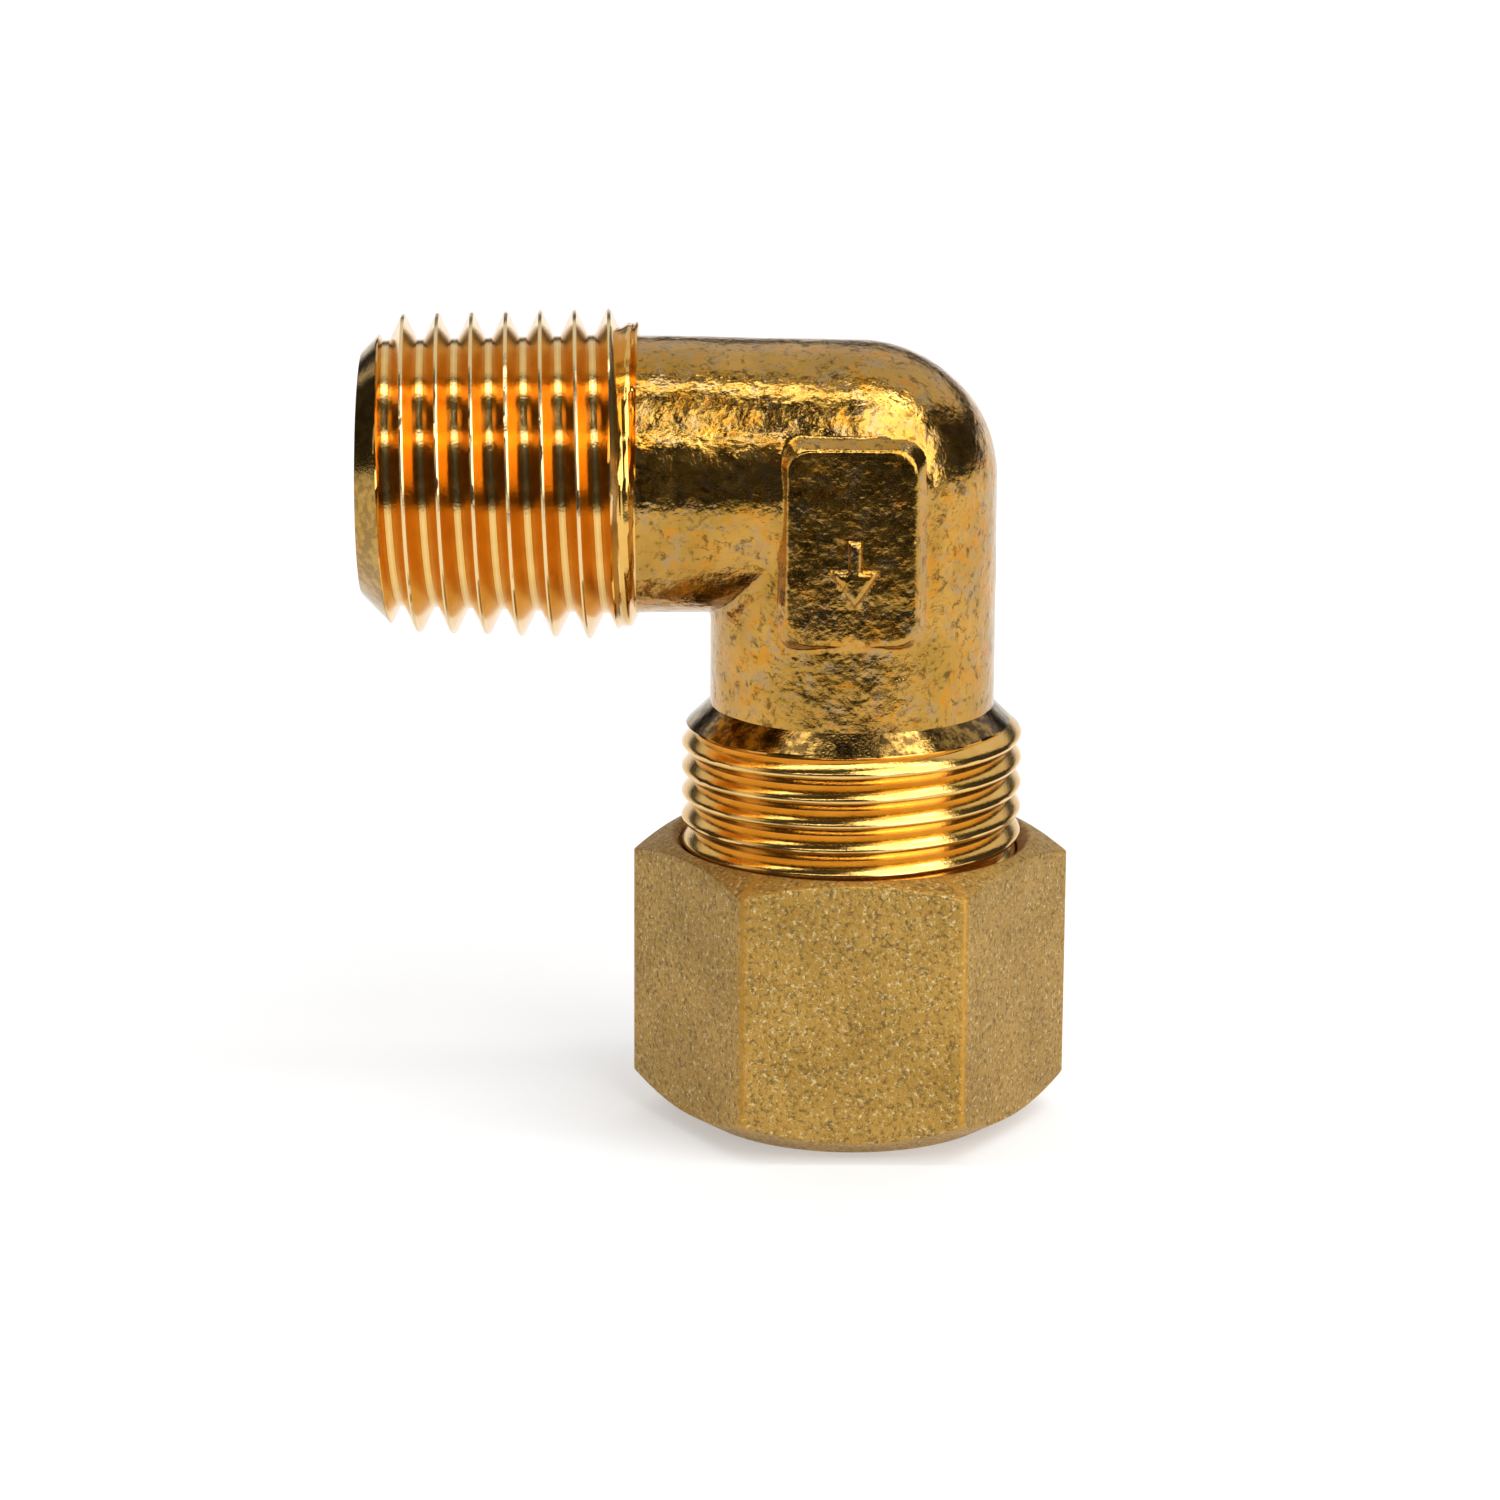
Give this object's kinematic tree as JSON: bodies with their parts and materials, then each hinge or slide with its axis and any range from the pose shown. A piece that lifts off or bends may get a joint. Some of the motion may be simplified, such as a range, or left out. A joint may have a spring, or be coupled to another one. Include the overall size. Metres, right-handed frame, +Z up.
{
  "type": "compression fitting",
  "caption": "Right-angle brass plumbing fitting: a forged elbow with a male taper pipe thread on one arm, and a hexagon nut that squeezes a loose sleeve onto a tube on the other.",
  "frame": {"origin": "centre of the footprint of the box, on the plane the nut stands on", "axes": "+Z up along the tube's axis, from the nut to the elbow; the male arm points along -X; the marked pad faces -Y"},
  "size_m": [0.0296, 0.0158, 0.0342],
  "materials": {
    "forged_brass": "bright forged skin, machined threads",
    "bar_brass": "matt, fine grain",
    "turned_brass": "bright turned"
  },
  "bodies": {
    "body": {"elbow_body": "forged_brass"},
    "sleeve": {"compression_sleeve": "turned_brass"},
    "nut": {"compression_nut": "bar_brass"}
  },
  "joints": [
    {"name": "nut_travel", "type": "slide", "parent": "body", "child": "sleeve", "axis": [0, 0, 1], "range_m": [-0.0032, 0.0015]},
    {"name": "nut_turn", "type": "hinge", "parent": "sleeve", "child": "nut", "pos_m": [0.00559, 0, 0.006], "axis": [0, 0, 1], "range_deg": [-1080, 500]}
  ],
  "couplings": [
    {"joint": "nut_travel", "follows": "nut_turn", "m_per_rad": 0.00016844}
  ]
}
